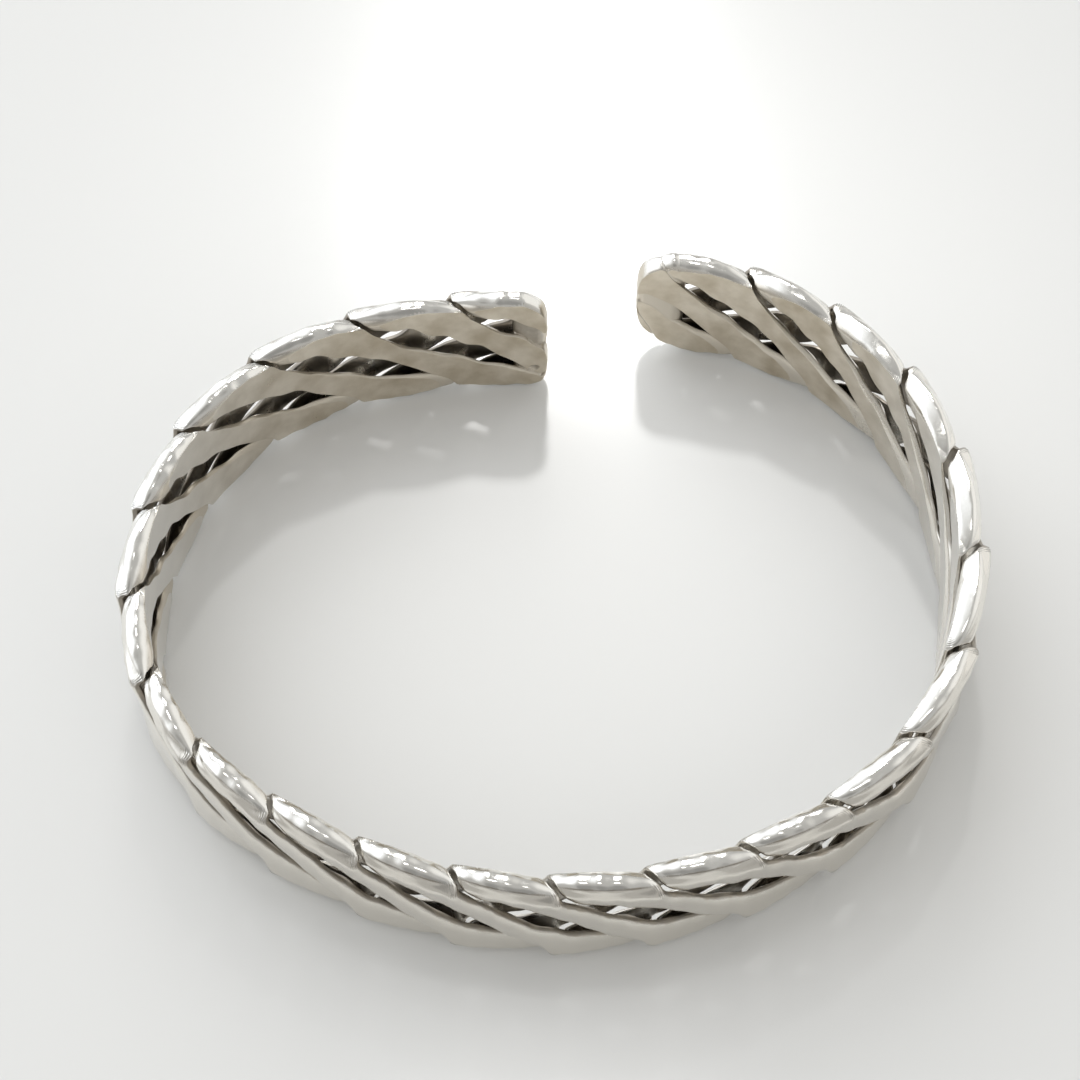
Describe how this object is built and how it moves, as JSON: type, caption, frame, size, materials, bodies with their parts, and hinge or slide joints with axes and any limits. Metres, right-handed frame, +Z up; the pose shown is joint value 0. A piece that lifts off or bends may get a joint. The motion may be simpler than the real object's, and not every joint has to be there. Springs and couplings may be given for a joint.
{
  "type": "twisted wire cuff bracelet",
  "caption": "Open cuff bracelet of thick silver wires twisted together, rolled flat into a slotted band and soldered together at both ends.",
  "frame": {"origin": "middle of the cuff seen from above, at the height of the rim that it lies on", "axes": "+X along the cuff's long side, from the soldered end tip_left towards tip_right; +Y from the closed front to the gap between the ends; +Z up along the wrist's axis, from rim to rim"},
  "size_m": [0.0616, 0.0518, 0.0118],
  "materials": {
    "silver_wire": "solid silver wire, polished on the outer face and the rims, ground matte on the inner face, dark with tarnish in the slots",
    "soldered_silver": "silver wire ends fused with silver solder, filed smooth and polished, slightly warmer in colour"
  },
  "bodies": {
    "root": {"wire_1": "silver_wire", "wire_2": "silver_wire", "wire_3": "silver_wire", "wire_4": "silver_wire", "tip_left": "soldered_silver", "tip_right": "soldered_silver"}
  },
  "joints": []
}
